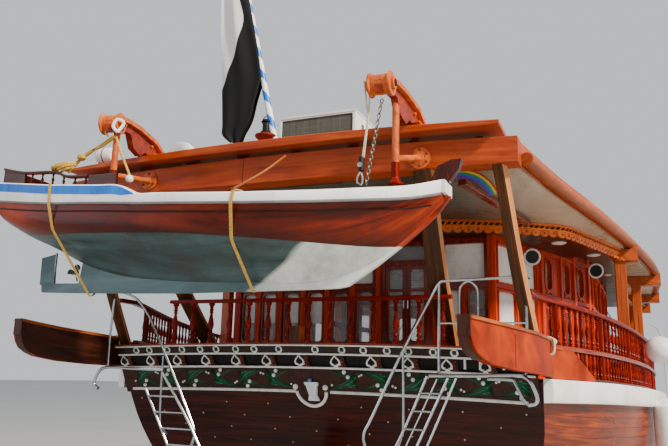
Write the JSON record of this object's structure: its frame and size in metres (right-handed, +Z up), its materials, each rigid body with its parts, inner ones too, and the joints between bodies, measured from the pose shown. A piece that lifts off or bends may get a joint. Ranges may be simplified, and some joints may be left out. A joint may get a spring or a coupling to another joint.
{
  "type": "dhow sailing boat",
  "caption": "Large decked wooden dhow with raked stern, open side galleries, saloon under a flat roof, lateen mast and yard, and a motor boat slung across the stern davits.",
  "frame": {"origin": "on the waterline, on the centreline, amidships", "axes": "+X to starboard, +Y ahead towards the bow, +Z up"},
  "size_m": [10.967, 32.835, 15.7202],
  "materials": {
    "hull_brown": "varnished planking",
    "dark_timber": "oiled",
    "white_paint": "white gloss paint",
    "deck_teak": "worn deck planking",
    "red_varnish": "red stain under varnish",
    "carved_dark": "carved and painted",
    "orange_varnish": "orange varnish",
    "terracotta": "terracotta paint",
    "roof_coating": "matt roof coating",
    "cream_lining": "stretched lining",
    "varnish": "gloss varnish",
    "glass": "clear pane",
    "stay_rope": "tarred rope",
    "boat_brown": "brown gloss paint",
    "boat_grey": "matt antifouling",
    "dark_red": "dark red varnish",
    "bronze": "dull bronze",
    "stainless": "polished tube",
    "unit_white": "white enamel",
    "dome_white": "gloss",
    "staff_paint": "painted pole",
    "flag_cloth": "woven cloth",
    "spar": "oiled spar"
  },
  "bodies": {
    "vessel": {"hull_planking": "hull_brown", "keel_and_stem": "dark_timber", "rubbing_band_starboard": "white_paint", "rubbing_band_port": "white_paint", "main_deck": "deck_teak", "bulwark_starboard": "red_varnish", "bulwark_port": "red_varnish", "stern_frieze": "carved_dark", "stern_balustrade": "red_varnish", "quarter_wing_starboard": "orange_varnish", "quarter_wing_port": "orange_varnish", "outer_raked_post_starboard": "terracotta", "outer_raked_post_port": "terracotta", "inner_raked_post_starboard": "terracotta", "inner_raked_post_port": "terracotta", "roof_deck": "roof_coating", "roof_soffit": "cream_lining", "roof_edge_starboard": "terracotta", "roof_edge_port": "terracotta", "stern_roof_beam": "terracotta", "roof_plank": "terracotta", "saloon_wall_aft": "varnish", "saloon_wall_starboard": "varnish", "saloon_wall_port": "varnish", "saloon_wall_front": "varnish", "saloon_glazing": "glass", "roof_cornice": "orange_varnish", "davit_starboard": "terracotta", "davit_port": "terracotta", "boat_hull": "boat_brown", "boat_rubbing_rail": "white_paint", "boat_keel": "boat_grey", "boat_stern_rail": "dark_red", "boarding_ladder_starboard": "stainless", "boarding_ladder_port": "stainless", "air_conditioner": "unit_white", "satellite_dome": "dome_white", "flagstaff": "staff_paint", "flag": "flag_cloth", "mast": "spar", "mast_stays": "stay_rope", "lateen_yard": "spar", "yard_crutch_aft": "dark_timber", "yard_crutch_fore": "dark_timber", "mooring_bitts": "dark_timber"},
    "propeller": {"propeller": "bronze"},
    "rudder": {"rudder": "dark_timber"},
    "boat_propeller": {"boat_propeller": "bronze"},
    "boat_rudder": {"boat_rudder": "boat_grey"},
    "door_inner": {"aft_door_inner_leaf": "varnish"},
    "door_outer": {"aft_door_outer_leaf": "varnish"}
  },
  "joints": [
    {"name": "propeller_spin", "type": "hinge", "parent": "vessel", "child": "propeller", "pos_m": [0, -9.98, -1.6], "axis": [0, 1, 0], "continuous": true},
    {"name": "rudder_turn", "type": "hinge", "parent": "vessel", "child": "rudder", "pos_m": [0, -12.0865, 0], "axis": [0, -0.4683, 0.8836], "range_deg": [-35, 35]},
    {"name": "boat_propeller_spin", "type": "hinge", "parent": "vessel", "child": "boat_propeller", "pos_m": [-2.2, -16.05, 4.24], "axis": [1, 0, 0], "continuous": true},
    {"name": "boat_rudder_turn", "type": "hinge", "parent": "vessel", "child": "boat_rudder", "pos_m": [-2.55, -16.05, 4.3], "axis": [0, 0, 1], "range_deg": [-35, 35]},
    {"name": "door_inner_swing", "type": "hinge", "parent": "vessel", "child": "door_inner", "pos_m": [0.56, -11.188, 4], "axis": [0, 0, -1], "range_deg": [0, 100]},
    {"name": "door_outer_swing", "type": "hinge", "parent": "vessel", "child": "door_outer", "pos_m": [1.35, -11.188, 4], "axis": [0, 0, 1], "range_deg": [0, 100]}
  ]
}
